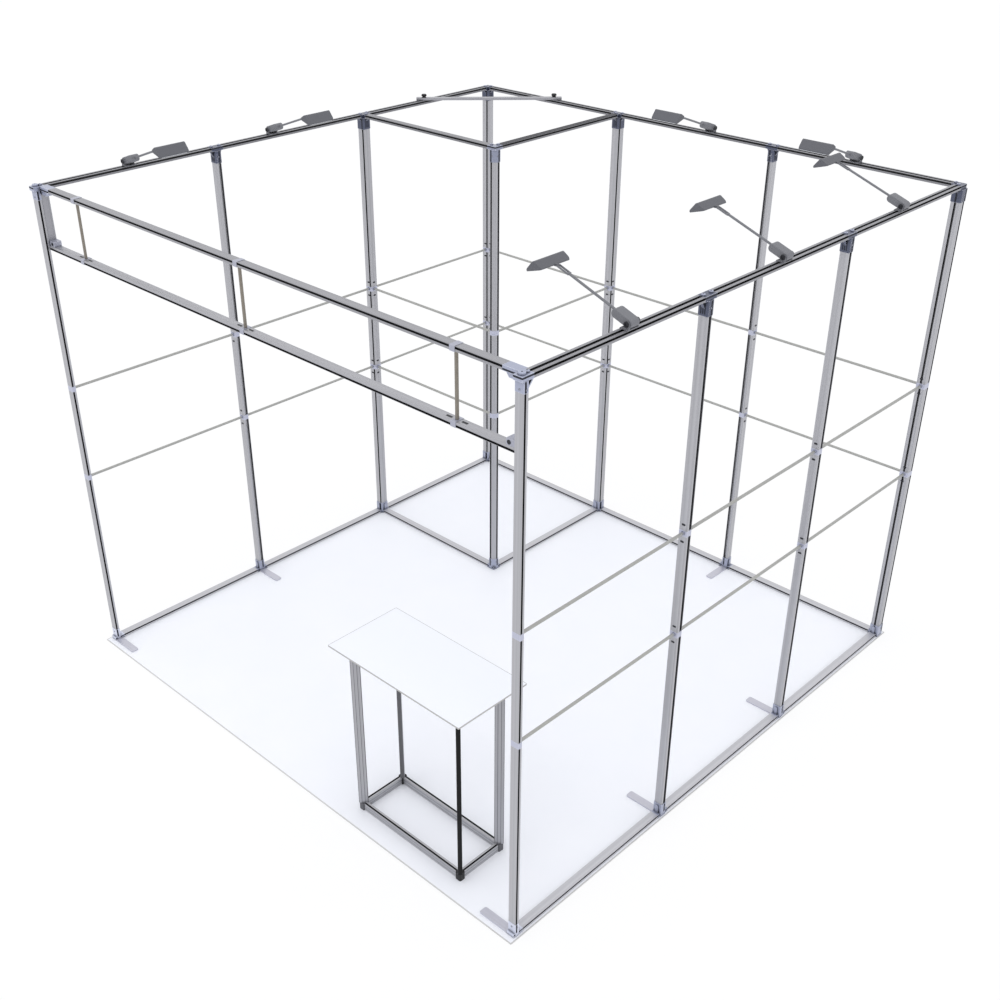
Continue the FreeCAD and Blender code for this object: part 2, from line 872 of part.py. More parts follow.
def lamp_clamp():
    """The plate on the rail with two ears for the pivot pin."""
    base = plate(rectangle(clamp_width, clamp_length, clamp_corner), 0, clamp_thickness)
    pieces = [base]
    for side in (-1, 1):
        web = box(-ear_radius, ear_radius, ear_thickness, clamp_thickness - cut_overrun, pivot_height)
        eye = crossbar(ear_radius, ear_thickness, 0, pivot_height)
        ear = web.fuse(eye)
        ear.translate(V(-pivot_offset, side * ear_place, 0))
        pieces.append(ear)
    length = clamp_length + 2 * cut_overrun
    return fused(pieces).cut(crossbar(pin_radius + pin_fit, length, -pivot_offset, pivot_height))


def lamp_pin():
    """The pivot pin with a recessed round head on each side."""
    half = ear_place + ear_thickness / 2
    pieces = [crossbar(pin_radius, 2 * half)]
    for side in (-1, 1):
        head = Part.makeCylinder(pin_head_radius, pin_head_height, V(0, side * half, 0), BACK * side)
        floor = V(0, side * (half + pin_head_height / 2), 0)
        recess = Part.makeCylinder(pin_recess_radius, pin_head_height, floor, BACK * side)
        pieces.append(head.cut(recess))
    pin = fused(pieces)
    pin.translate(lamp_pivot)
    return pin


def on_arm(solid):
    """A piece drawn along +X from the pivot, raised to the arm's angle."""
    return placed(solid, lamp_pivot, arm_way, arm_up)


def lamp_housing():
    """The rounded transformer block that turns on the pivot pin and holds the rod."""
    heel, half = -housing_thickness / 2, housing_thickness / 2
    corners = [(heel, -half, housing_heel), (housing_length, -half, housing_nose)]
    corners += [(housing_length, half, housing_nose), (heel, half, housing_heel)]
    block = slab(corners, housing_width)
    block = rounded(block, housing_edge, end_edges(housing_width / 2))
    bore = crossbar(pin_radius + pin_fit, housing_width + 2 * cut_overrun)
    bottom = V(housing_length - rod_socket, 0, 0)
    seat = Part.makeCylinder(rod_radius + rod_fit, rod_socket + cut_overrun, bottom, RIGHT)
    return block.cut([bore, seat])


def lamp_rod():
    """The round arm with the two flat prongs of its fork."""
    start = housing_length - rod_socket
    bridge = arm_reach - fork_length
    width = 2 * prong_place + prong_thickness
    pieces = [Part.makeCylinder(rod_radius, bridge + fork_bridge / 2 - start, V(start, 0, 0), RIGHT)]
    pieces.append(box(bridge, bridge + fork_bridge, width, -prong_height / 2, prong_height / 2))
    for side in (-1, 1):
        prong = box(bridge, arm_reach, prong_thickness, -prong_height / 2, prong_height / 2)
        prong = prong.fuse(crossbar(prong_height / 2, prong_thickness, arm_reach, 0))
        prong.translate(BACK * side * prong_place)
        pieces.append(prong)
    return fused(pieces).cut(crossbar(fork_pin_radius + pin_fit, width + 2 * cut_overrun, arm_reach, 0))


def lamp_fork_pin():
    return crossbar(fork_pin_radius, 2 * (prong_place + fork_pin_stand) + prong_thickness, arm_reach, 0)


def lamp_head():
    """The wedge-shaped head with its knuckle and, underneath, the recess of the glass."""
    heel = V(head_stand, 0, 0)
    tip = V(head_stand + head_tip_reach, 0, -head_tip_drop)
    apex = V(head_stand + head_apex_reach, 0, head_apex_rise)
    corners = [(heel.x, heel.z, head_heel_round), (tip.x, tip.z, head_tip_round)]
    wedge = slab(corners + [(apex.x, apex.z, head_apex_round)], head_length)
    plan = plate(rectangle(head_tip_reach, head_length, head_corner), -head_length, head_length)
    wedge = wedge.common(placed(plan, V(head_stand + head_tip_reach / 2, 0, 0), RIGHT, UP))
    lug_end = head_stand + head_apex_reach / 2
    knuckle = box(0, lug_end, knuckle_width, -knuckle_radius, knuckle_radius)
    knuckle = knuckle.fuse(crossbar(knuckle_radius, knuckle_width))
    head = fused([wedge, knuckle])
    along = tip - heel
    span = along.Length
    along.normalize()
    border = glass_border + head_heel_round
    recess = box(border, span - border, head_length - 2 * glass_border, -cut_overrun, glass_recess)
    inward = along.cross(BACK) * -1
    head = head.cut(placed(recess, heel, along, inward))
    head = head.cut(crossbar(fork_pin_radius + pin_fit, knuckle_width + 2 * cut_overrun))
    head.translate(head_pivot)
    return head


def floor_sheet():
    corner = post_place("post_back_right")
    width = 2 * (corner.x + sheet_side_overhang)
    depth = 2 * (corner.y + sheet_end_overhang)
    return plate(rectangle(width, depth, sheet_corner), 0, sheet_thickness)


os.makedirs("parts", exist_ok=True)
save("floor_sheet", [floor_sheet()])
for name in posts:
    save(name, post(name))
for wall in walls:
    save(wall + "_base_rails", base_rails(wall))
    save(wall + "_top_rails", top_rails(wall))
    save(wall + "_brace_rails", brace_rails(wall))
save("post_joiners", [joiner(name, height) for name in posts for height in brace_heights])
save("base_connectors", [base_connector(name) for name in posts])
save("top_connectors", [top_connector(name) for name in posts])
save("lock_caps", lock_caps())
save("connector_screws", connector_screws())
save("foot_plates", [foot_plate(name) for name in footed_posts])
save("header_top_beam", [header_beam(header_arm, 0, frame_height - bar_thickness / 2, UP)])
lower_level = header_top - bar_thickness / 2
save("header_lower_beam", [header_beam(lower_beam_inset, header_offset, lower_level, UP * -1)])
save("header_locks", header_locks())
save("header_uprights", header_uprights())
save("header_struts", header_struts())
save("header_clips", header_clips() + upright_feet())
save("corner_tie_bar", [tie_bar()])
for side, spot in zip(("left", "back"), tie_ends()):
    save("tie_knob_" + side, [knob(spot)])
save("counter_top", [counter_top()])
save("counter_posts", counter_posts())
save("counter_rails", counter_rails())
save("counter_corner_blocks", counter_blocks())
save("lamp_clamps", [lamp_on_rail(name, lamp_clamp()) for name in lamps])
save("lamp_pivot_pins", [lamp_on_rail(name, lamp_pin()) for name in lamps])
for name in lamps:
    arm = [on_arm(solid) for solid in (lamp_housing(), lamp_rod(), lamp_fork_pin())]
    save(name + "_arm", [lamp_on_rail(name, solid) for solid in arm])
    save(name + "_head", [lamp_on_rail(name, lamp_head())])
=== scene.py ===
import json
import math
import bmesh
import bpy
from mathutils import Matrix, Vector


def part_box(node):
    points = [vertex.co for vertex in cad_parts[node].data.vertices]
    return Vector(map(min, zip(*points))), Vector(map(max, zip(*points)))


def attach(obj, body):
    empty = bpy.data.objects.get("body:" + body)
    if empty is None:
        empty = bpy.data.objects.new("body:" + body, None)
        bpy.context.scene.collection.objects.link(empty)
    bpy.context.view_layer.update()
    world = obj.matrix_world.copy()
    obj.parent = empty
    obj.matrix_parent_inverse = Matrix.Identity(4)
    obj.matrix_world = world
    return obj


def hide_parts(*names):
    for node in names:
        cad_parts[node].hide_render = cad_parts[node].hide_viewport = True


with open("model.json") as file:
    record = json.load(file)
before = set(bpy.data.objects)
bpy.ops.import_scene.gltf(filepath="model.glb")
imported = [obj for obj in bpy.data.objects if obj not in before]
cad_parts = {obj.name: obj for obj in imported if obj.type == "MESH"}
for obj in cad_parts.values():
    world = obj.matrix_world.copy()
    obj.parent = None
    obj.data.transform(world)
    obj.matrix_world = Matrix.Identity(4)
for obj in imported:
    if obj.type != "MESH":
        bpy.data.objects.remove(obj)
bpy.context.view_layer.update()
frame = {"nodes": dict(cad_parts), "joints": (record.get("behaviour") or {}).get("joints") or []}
nodes = frame["nodes"]


# Floor sheet: one thin matt white vinyl sheet, laid flat on the hall floor under the whole stand.
# It is cut straight at its edges, where a fine grey line of painted shade runs all round.
def linear(code):
    """An sRGB hex colour as the linear colour that the shaders take."""
    parts = [int(code[i:i + 2], 16) / 255 for i in (0, 2, 4)]
    return tuple(c / 12.92 if c <= 0.04045 else ((c + 0.055) / 1.055) ** 2.4 for c in parts) + (1.0,)


def add(tree, kind, inputs=None, **settings):
    """A node with its settings; an input is given a value or the socket that feeds it."""
    made = tree.nodes.new(kind)
    for key, value in settings.items():
        setattr(made, key, value)
    for key, value in (inputs or {}).items():
        if isinstance(value, bpy.types.NodeSocket):
            tree.links.new(value, made.inputs[key])
        else:
            made.inputs[key].default_value = value
    return made


def finish_named(name, **sockets):
    """A new material with the given values set on its shader's own sockets."""
    material = bpy.data.materials.new(name)
    material.use_nodes = True
    shader = material.node_tree.nodes["Principled BSDF"]
    for key, value in sockets.items():
        shader.inputs[key.replace("_", " ")].default_value = value
    return material, material.node_tree, shader


def dress(material, *names):
    """The finish on carried CAD pieces."""
    for name in names:
        for slot in nodes[name].material_slots:
            slot.material = material


def grain(tree, spacing_mm, stretch=(1, 1, 1), detail=3.0):
    """Soft noise whose spots are about the given size, drawn out along an axis by a stretch below one."""
    place = add(tree, "ShaderNodeTexCoord").outputs["Object"]
    scale = [share * 1000 / spacing_mm for share in stretch]
    turned = add(tree, "ShaderNodeMapping", {"Vector": place, "Scale": scale})
    noise = add(tree, "ShaderNodeTexNoise",
                {"Vector": turned.outputs["Vector"], "Scale": 1.0, "Detail": detail})
    return noise.outputs["Fac"]


def rim(tree, name, width, ends=(0, 1)):
    """One on a band of the given width at a piece's ends along the given axes, and nought inside it."""
    low, high = (Vector(corner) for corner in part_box(name))
    place = add(tree, "ShaderNodeTexCoord").outputs["Object"]
    centred = add(tree, "ShaderNodeMapping", {"Vector": place, "Location": (low + high) / -2})
    axes = add(tree, "ShaderNodeSeparateXYZ", {"Vector": centred.outputs["Vector"]})
    bands = []
    for axis in ends:
        reach = add(tree, "ShaderNodeMath", {0: axes.outputs[axis]}, operation="ABSOLUTE").outputs[0]
        inner = (high[axis] - low[axis]) / 2 - width
        bands.append(add(tree, "ShaderNodeMath", {0: reach, 1: inner}, operation="GREATER_THAN").outputs[0])
    return add(tree, "ShaderNodeMath", {0: bands[0], 1: bands[-1]}, operation="MAXIMUM").outputs[0]


# Calendered vinyl: an even white with a very faint cloudiness, a fine pebble and a grey line of painted shade
# at its edges.
# A Mix node takes its share in input 0, its colours in inputs 6 and 7 and its plain numbers in 2 and 3.
sheet_edge_shade_width = 0.005
vinyl, tree, shader = finish_named("calendered_vinyl_white", Roughness=0.55)
clouded = add(tree, "ShaderNodeMix", {0: grain(tree, 240.0), 6: linear("f5f7fa"), 7: linear("fafbfd")},
              data_type="RGBA").outputs[2]
sheet_edge_shaded = add(tree, "ShaderNodeMix", {0: rim(tree, "floor_sheet", sheet_edge_shade_width), 6: clouded, 7: linear("cecdca")},
             data_type="RGBA").outputs[2]
tree.links.new(sheet_edge_shaded, shader.inputs["Base Color"])
pebble = add(tree, "ShaderNodeBump", {"Height": grain(tree, 3.0), "Strength": 0.08, "Distance": 0.0002})
tree.links.new(pebble.outputs["Normal"], shader.inputs["Normal"])
dress(vinyl, "floor_sheet")


# Posts: hollow aluminium extrusions in three lengths, natural anodised, with panel slots along their edges.
# The die leaves fine straight lines along each bar, and painted shade makes the deep slots look almost black.
slot_reach = 0.016
satin_roughness = 0.38
satin_swing = 0.06
line_spacing_mm = 9.0
line_stretch = 0.002


def occlusion_share(tree, reach, closed, clear, own_only=True):
    """Ambient occlusion as a share for painted shade: nought deep in a slot or corner, one on an open face,
    felt over the given reach.
    """
    felt = add(tree, "ShaderNodeAmbientOcclusion", {"Distance": reach}, samples=8, only_local=own_only)
    return add(tree, "ShaderNodeMapRange",
               {"Value": felt.outputs["AO"], "From Min": closed, "From Max": clear}).outputs[0]


def die_lines(tree, along):
    """Fine straight lines along an axis, drawn wider apart than real ones so that they show."""
    stretch = [1, 1, 1]
    stretch[along] = line_stretch
    return grain(tree, line_spacing_mm, stretch)


def anodised(name, along, light, dark, slot="101012", scored=None, crossing=None):
    """Satin anodised aluminium with painted shade in its slots; bars that cross the given axis have their
    lines turned.
    """
    material, tree, shader = finish_named(name, Metallic=0.55)
    lines = die_lines(tree, along)
    if crossing:
        turned = die_lines(tree, 1 - along)
        chosen = add(tree, "ShaderNodeMix", {0: crossing(tree), 2: lines, 3: turned}, data_type="FLOAT")
        lines = chosen.outputs[0]
    face = add(tree, "ShaderNodeMix", {0: lines, 6: linear(dark), 7: linear(light)},
               data_type="RGBA").outputs[2]
    if scored:
        face = add(tree, "ShaderNodeMix", {0: scored(tree), 6: face, 7: linear("6c6c70")},
                   data_type="RGBA").outputs[2]
    # Painted shade: the slot colour is mixed in where ambient occlusion finds a recess.
    unshaded = occlusion_share(tree, slot_reach, closed=0.55, clear=0.92)
    colour = add(tree, "ShaderNodeMix", {0: unshaded, 6: linear(slot), 7: face}, data_type="RGBA").outputs[2]
    tree.links.new(colour, shader.inputs["Base Color"])
    sheen = add(tree, "ShaderNodeMapRange",
                {"Value": lines, "To Min": satin_roughness - satin_swing,
                 "To Max": satin_roughness + satin_swing})
    tree.links.new(sheen.outputs[0], shader.inputs["Roughness"])
    scratches = add(tree, "ShaderNodeBump", {"Height": lines, "Strength": 0.12, "Distance": 0.0001})
    tree.links.new(scratches.outputs["Normal"], shader.inputs["Normal"])
    return material


post_names = [name for name in nodes if name.startswith("post_") and name != "post_joiners"]
dress(anodised("anodised_aluminium_posts", 2, "cbcbce", "99999d"), *post_names)


# Base rails and top rails: the same slotted bar laid flat between the connectors, one in each bay.
# The base rails are painted pale and the top rails darker, as painted light and shade on the same bar; the
# right top rails are a little less dark.
bar_width = 0.040
bar_margin = 0.005


def storeroom_front(tree):
    """One on the rails of the storeroom's front wall, which run across the stand, and nought behind them."""
    place = add(tree, "ShaderNodeTexCoord").outputs["Object"]
    depth = add(tree, "ShaderNodeSeparateXYZ", {"Vector": place}).outputs["Y"]
    back_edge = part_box("storeroom_base_rails")[0][1] + bar_width + bar_margin
    return add(tree, "ShaderNodeMath", {0: depth, 1: back_edge}, operation="LESS_THAN").outputs[0]


dress(anodised("anodised_aluminium_base_across", 0, "d6d6da", "b0b0b4", "2c2c30"), "back_base_rails")
dress(anodised("anodised_aluminium_base_deep", 1, "d6d6da", "b0b0b4", "2c2c30"),
      "left_base_rails", "right_base_rails")
dress(anodised("anodised_aluminium_top_across", 0, "9a9a9e", "76767a"), "back_top_rails")
dress(anodised("anodised_aluminium_top_deep", 1, "9a9a9e", "76767a"), "left_top_rails")
dress(anodised("anodised_aluminium_top_right", 1, "aaaaae", "828286"), "right_top_rails")
dress(anodised("anodised_aluminium_storeroom_base", 1, "d6d6da", "b0b0b4", "2c2c30",
               crossing=storeroom_front), "storeroom_base_rails")
dress(anodised("anodised_aluminium_storeroom_top", 1, "98989c", "747478", crossing=storeroom_front),
      "storeroom_top_rails")


# Brace rails: thin square tubes seated between the posts at two heights, in plain drawn aluminium.
# They are duller and a touch warmer than the bars, with soft blotches left by the drawing.
def grained(name, spacing_mm, dark, light, stretch=(1, 1, 1), relief=0.0, depth=0.0001, **sockets):
    """A finish whose colour wanders between two shades by one grain, which is also its relief."""
    material, tree, shader = finish_named(name, **sockets)
    spots = grain(tree, spacing_mm, stretch)
    shade = add(tree, "ShaderNodeMix", {0: spots, 6: linear(dark), 7: linear(light)}, data_type="RGBA")
    tree.links.new(shade.outputs[2], shader.inputs["Base Color"])
    if relief:
        skin = add(tree, "ShaderNodeBump", {"Height": spots, "Strength": relief, "Distance": depth})
        tree.links.new(skin.outputs["Normal"], shader.inputs["Normal"])
    return material


def drawn_tube(name, dark, light):
    """Drawn tube: soft blotches and a dull sheen."""
    return grained(name, 14.0, dark, light, relief=0.1, depth=0.0002, Metallic=0.4, Roughness=0.5)


brace_names = [name for name in nodes if name.endswith("_brace_rails")]
dress(drawn_tube("mill_finish_brace_tube", "a0a09b", "b6b6b2"), *brace_names)


# Connectors, joiners and lock caps: zinc castings with a blue-tinged lacquer, over, on and under each post.
# Cast faces are finely pebbled, the edges carry a painted highlight and painted shade darkens the grooves and
# the corners where they meet their neighbours.
# Those along the open front and at the storeroom's free corner are paler.
front_row = -1.38
inner_corner = Vector(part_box("post_storeroom_corner")[1])
inner_reach = 0.1
inner_share = 0.65
edge_radius = 0.0025


def casting(name, light, dark, shade_colour, reach=0.022, pale_shades=None, edge_highlight="e4e7f4"):
    """Lacquered zinc: fine pebble, a painted highlight on its edges, painted shade where it meets its
    neighbours, paler at the front and the storeroom's free corner.
    """
    material, tree, shader = finish_named(name, Metallic=0.3, Roughness=0.28)
    pebble = grain(tree, 4.0, detail=4.0)
    face = add(tree, "ShaderNodeMix", {0: pebble, 6: linear(dark), 7: linear(light)},
               data_type="RGBA").outputs[2]
    if pale_shades:
        place = add(tree, "ShaderNodeTexCoord").outputs["Object"]
        depth = add(tree, "ShaderNodeSeparateXYZ", {"Vector": place}).outputs["Y"]
        ahead = add(tree, "ShaderNodeMath", {0: depth, 1: front_row}, operation="LESS_THAN").outputs[0]
        away = add(tree, "ShaderNodeVectorMath", {0: place, 1: inner_corner}, operation="DISTANCE")
        close = add(tree, "ShaderNodeMath", {0: away.outputs["Value"], 1: inner_reach}, operation="LESS_THAN")
        inner = add(tree, "ShaderNodeMath", {0: close.outputs[0], 1: inner_share}, operation="MULTIPLY")
        pale_share = add(tree, "ShaderNodeMath", {0: ahead, 1: inner.outputs[0]}, operation="MAXIMUM").outputs[0]
        paler = add(tree, "ShaderNodeMix", {0: pebble, 6: linear(pale_shades[0]), 7: linear(pale_shades[1])},
                    data_type="RGBA").outputs[2]
        face = add(tree, "ShaderNodeMix", {0: pale_share, 6: face, 7: paler}, data_type="RGBA").outputs[2]
    # Painted highlight: the pale edge colour goes where the Bevel node rounds the normal.
    bent = add(tree, "ShaderNodeBevel", {"Radius": edge_radius}, samples=4).outputs["Normal"]
    flat = add(tree, "ShaderNodeNewGeometry").outputs["Normal"]
    same = add(tree, "ShaderNodeVectorMath", {0: bent, 1: flat}, operation="DOT_PRODUCT").outputs["Value"]
    edge = add(tree, "ShaderNodeMapRange", {"Value": same, "From Min": 0.99, "From Max": 0.85}).outputs[0]
    highlighted = add(tree, "ShaderNodeMix", {0: edge, 6: face, 7: linear(edge_highlight)},
                 data_type="RGBA").outputs[2]
    # Painted shade: the shade colour goes where ambient occlusion, from this part and its neighbours, finds a
    # groove or corner.
    unshaded = occlusion_share(tree, reach, closed=0.3, clear=0.9, own_only=False)
    colour = add(tree, "ShaderNodeMix", {0: unshaded, 6: linear(shade_colour), 7: highlighted}, data_type="RGBA").outputs[2]
    tree.links.new(colour, shader.inputs["Base Color"])
    skin = add(tree, "ShaderNodeBump", {"Height": pebble, "Strength": 0.15, "Distance": 0.0001})
    tree.links.new(skin.outputs["Normal"], shader.inputs["Normal"])
    return material


dress(casting("lacquered_zinc_base_connectors", "b4b8ca", "989eb2", "1a1d2a", pale_shades=("cacede", "e2e6f2")),
      "base_connectors")
# The top connectors are painted much darker than the base ones: painted shade under the top rails.
dress(casting("lacquered_zinc_top_connectors", "5f6478", "3e4456", "10121c", pale_shades=("9a9fb3", "b4b9cb")),
      "top_connectors")
dress(casting("lacquered_zinc_joiners", "c4c6d4", "b2b5c6", "4a4e60", reach=0.008), "post_joiners")
dress(casting("lacquered_zinc_lock_caps", "b6bbce", "999fb4", "1c1f2c"), "lock_caps")


# Flutes of the connectors: rows of narrow upright slots in the sleeves under the top rails.
# Each is drawn as a thin rounded plate with a sunk floor, near black as painted shade for the flute's depth.
facing_up = 0.9
sunk_depth = -0.6


def plate_tree(name, material):
    """A tree that lays a rounded plate with a sunk middle at each place, turned as the place says."""
    tree = bpy.data.node_groups.new(name, "GeometryNodeTree")
    tree.interface.new_socket("Geometry", in_out="INPUT", socket_type="NodeSocketGeometry")
    for size in ("Length", "Width", "Stand", "Corner", "Sunk Share"):
        tree.interface.new_socket(size, in_out="INPUT", socket_type="NodeSocketFloat")
    tree.interface.new_socket("Geometry", in_out="OUTPUT", socket_type="NodeSocketGeometry")
    given = add(tree, "NodeGroupInput").outputs
    top = add(tree, "ShaderNodeCombineXYZ", {"Z": given["Stand"]}).outputs[0]
    rise = add(tree, "GeometryNodeCurvePrimitiveLine", {"End": top}).outputs[0]
    outline = add(tree, "GeometryNodeCurvePrimitiveQuadrilateral",
                  {"Width": given["Length"], "Height": given["Width"]}).outputs[0]
    rounded = add(tree, "GeometryNodeFilletCurve",
                  {"Curve": outline, "Count": 4, "Radius": given["Corner"], "Limit Radius": True},
                  mode="POLY")
    body = add(tree, "GeometryNodeCurveToMesh",
               {"Curve": rise, "Profile Curve": rounded.outputs[0], "Fill Caps": True}).outputs[0]
    normal = add(tree, "GeometryNodeInputNormal").outputs[0]
    height = add(tree, "ShaderNodeSeparateXYZ", {"Vector": normal}).outputs["Z"]
    face = add(tree, "ShaderNodeMath", {0: height, 1: facing_up}, operation="GREATER_THAN").outputs[0]
    inset = add(tree, "GeometryNodeExtrudeMesh", {"Mesh": body, "Selection": face, "Offset Scale": 0.0})
    narrowed = add(tree, "GeometryNodeScaleElements",
                   {"Geometry": inset.outputs["Mesh"], "Selection": inset.outputs["Top"],
                    "Scale": given["Sunk Share"]}).outputs[0]
    drop = add(tree, "ShaderNodeMath", {0: given["Stand"], 1: sunk_depth}, operation="MULTIPLY").outputs[0]
    sunk = add(tree, "GeometryNodeExtrudeMesh",
               {"Mesh": narrowed, "Selection": inset.outputs["Top"], "Offset Scale": drop}).outputs["Mesh"]
    facing = add(tree, "GeometryNodeInputNamedAttribute", {"Name": "facing"},
                 data_type="FLOAT_VECTOR").outputs[0]
    along = add(tree, "GeometryNodeInputNamedAttribute", {"Name": "along"},
                data_type="FLOAT_VECTOR").outputs[0]
    outward = add(tree, "FunctionNodeAlignRotationToVector", {"Vector": facing}, axis="Z").outputs[0]
    turned = add(tree, "FunctionNodeAlignRotationToVector", {"Rotation": outward, "Vector": along},
                 axis="X", pivot_axis="Z").outputs[0]
    laid = add(tree, "GeometryNodeInstanceOnPoints",
               {"Points": given["Geometry"], "Instance": sunk, "Rotation": turned}).outputs[0]
    solid = add(tree, "GeometryNodeRealizeInstances", {"Geometry": laid}).outputs[0]
    dressed = add(tree, "GeometryNodeSetMaterial", {"Geometry": solid, "Material": material}).outputs[0]
    add(tree, "NodeGroupOutput", {"Geometry": dressed})
    return tree


def laid_out(name, places, tree, body, sizes):
    """The tree's pieces at (place, facing, along), turned into one plain mesh that rides on a body."""
    points = bpy.data.meshes.new(name)
    points.from_pydata([row[0] for row in places], [], [])
    for column, key in ((1, "facing"), (2, "along")):
        values = points.attributes.new(key, "FLOAT_VECTOR", "POINT")
        values.data.foreach_set("vector", [number for row in places for number in row[column]])
    piece = bpy.data.objects.new(name, points)
    bpy.context.scene.collection.objects.link(piece)
    growth = piece.modifiers.new("laid_out", "NODES")
    growth.node_group = tree
    for item in tree.interface.items_tree:
        if item.name in sizes:
            growth[item.identifier] = sizes[item.name]
    made = bpy.data.meshes.new_from_object(piece.evaluated_get(bpy.context.evaluated_depsgraph_get()))
    piece.modifiers.remove(growth)
    piece.data = made
    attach(piece, body)
    return piece


def centre_and_half(name):
    """The middle and the half size of a CAD node's box."""
    low, high = (Vector(corner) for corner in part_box(name))
    return (low + high) / 2, (high - low) / 2


def face_reach(half, way):
    """How far the upright face of a box lies from its middle, in a direction across the floor."""
    return abs(way.x) * half.x + abs(way.y) * half.y


# Painted shade: near black with a fine grain, laid on the flutes, slot mouths and grooves where only their
# depth is dark.
groove_shade = grained("painted_groove_shade", 3.0, "12141c", "282c3a", Roughness=0.6, Metallic=0.2)
sides = {"right": Vector((1, 0, 0)), "back": Vector((0, 1, 0)),
         "left": Vector((-1, 0, 0)), "front": Vector((0, -1, 0))}
upward = Vector((0, 0, 1))
flute_middle = 2.4905
flute_pitch = 0.009
sleeve_wall = 0.003
groove_stand = 0.0005
end_posts = ("post_front_left", "post_front_right")
wall_mouths = (("right", 0.005), ("left", -0.005))
end_mouths = (("right", -0.00425), ("left", 0.00425))
slot_mouths = {"post_left_middle": wall_mouths, "post_right_middle": wall_mouths,
               "post_right_rear": wall_mouths,
               "post_back_middle": (("back", 0.005), ("front", -0.005)),
               "post_front_left": end_mouths, "post_front_right": end_mouths,
               "post_left_storeroom": (("front", 0.0145),), "post_back_left": (("front", 0.0145),),
               "post_back_storeroom": (("right", -0.0145),),
               "post_back_right": (("front", 0.0), ("right", 0.0145)),
               "post_storeroom_corner": (("front", -0.00875), ("right", 0.00875))}
fluted_posts = [name for name in post_names if name not in end_posts and name != "post_storeroom_corner"]
flutes = []
for name in fluted_posts:
    middle, half = centre_and_half(name)
    open_sides = [side for side, offset in slot_mouths[name]]
    for side, way in sides.items():
        if side in open_sides:
            continue
        reach = face_reach(half, way) + sleeve_wall
        for step in (-1, 0, 1):
            spot = middle + way * reach + upward.cross(way) * step * flute_pitch
            flutes.append((Vector((spot.x, spot.y, flute_middle)), way, upward))
laid_out("connector_flutes", flutes, plate_tree("flutes", groove_shade), "stand",
         {"Length": 0.040, "Width": 0.0042, "Stand": groove_stand, "Corner": 0.002, "Sunk Share": 0.8})

# Slot mouths: the sleeves are open where the slots of the post run up into them; near black plates paint the
# shade there.
mouth_tree = plate_tree("slot_mouths", groove_shade)
mouth_width = 0.0085
mouth_low = 2.464
mouth_high = 2.523
end_mouth_low = 2.484
end_sleeve_wall = 0.0012
foot_mouth_low = 0.026
foot_mouth_high = 0.072
inner_posts = fluted_posts + ["post_storeroom_corner"]
for label, low, high, chosen in (("connector_slot_mouths", mouth_low, mouth_high, inner_posts),
                                 ("end_connector_slot_mouths", end_mouth_low, mouth_high, end_posts),
                                 ("base_slot_mouths", foot_mouth_low, foot_mouth_high, post_names)):
    mouths = []
    for name in chosen:
        middle, half = centre_and_half(name)
        wall = end_sleeve_wall if name in end_posts else sleeve_wall
        for side, offset in slot_mouths[name]:
            way = sides[side]
            spot = middle + way * (face_reach(half, way) + wall) + upward.cross(way) * offset
            mouths.append((Vector((spot.x, spot.y, (low + high) / 2)), way, upward))
    laid_out(label, mouths, mouth_tree, "stand",
             {"Length": high - low, "Width": mouth_width, "Stand": groove_stand, "Corner": 0.001,
              "Sunk Share": 0.8})

# Rail lines: the side slots of the rails run on as grooves round the arms of the connectors, drawn as near
# black plates of painted shade.
# Two faces of each end post have none: the one that the header enters at the top, and the front at the foot.
wall_runs = (("post_front_left", "post_left_middle", "post_left_storeroom", "post_back_left"),
             ("post_back_left", "post_back_storeroom", "post_back_middle", "post_back_right"),
             ("post_front_right", "post_right_middle", "post_right_rear", "post_back_right"),
             ("post_left_storeroom", "post_storeroom_corner", "post_back_storeroom"))
arms = {name: [] for name in post_names}
for run in wall_runs:
    for first, second in zip(run, run[1:]):
        way = (centre_and_half(second)[0] - centre_and_half(first)[0]).normalized()
        arms[first].append(way)
        arms[second].append(-way)
hub_half = 0.020
arm_end = 0.036
same_way = 0.9
square_on = 0.1
top_slot_level = 2.53825
base_slot_level = 0.01825
plain_faces = {("post_front_left", top_slot_level): "right", ("post_front_right", top_slot_level): "left",
               ("post_front_left", base_slot_level): "front", ("post_front_right", base_slot_level): "front"}
hub_lines = []
arm_lines = []
for name in post_names:
    centre = centre_and_half(name)[0]
    for side, way in sides.items():
        if any(way.dot(arm) > same_way for arm in arms[name]):
            continue
        for level in (top_slot_level, base_slot_level):
            if plain_faces.get((name, level)) == side:
                continue
            middle = Vector((centre.x, centre.y, level)) + way * hub_half
            hub_lines.append((middle, way, upward.cross(way)))
            for arm in arms[name]:
                if abs(arm.dot(way)) < square_on:
                    arm_lines.append((middle + arm * (hub_half + arm_end) / 2, way, upward.cross(way)))
for label, rows, length in (("connector_hub_lines", hub_lines, 2 * hub_half),
                            ("connector_arm_lines", arm_lines, arm_end - hub_half)):
    laid_out(label, rows, mouth_tree, "stand",
             {"Length": length, "Width": 0.0065, "Stand": groove_stand, "Corner": 0.0002, "Sunk Share": 0.8})


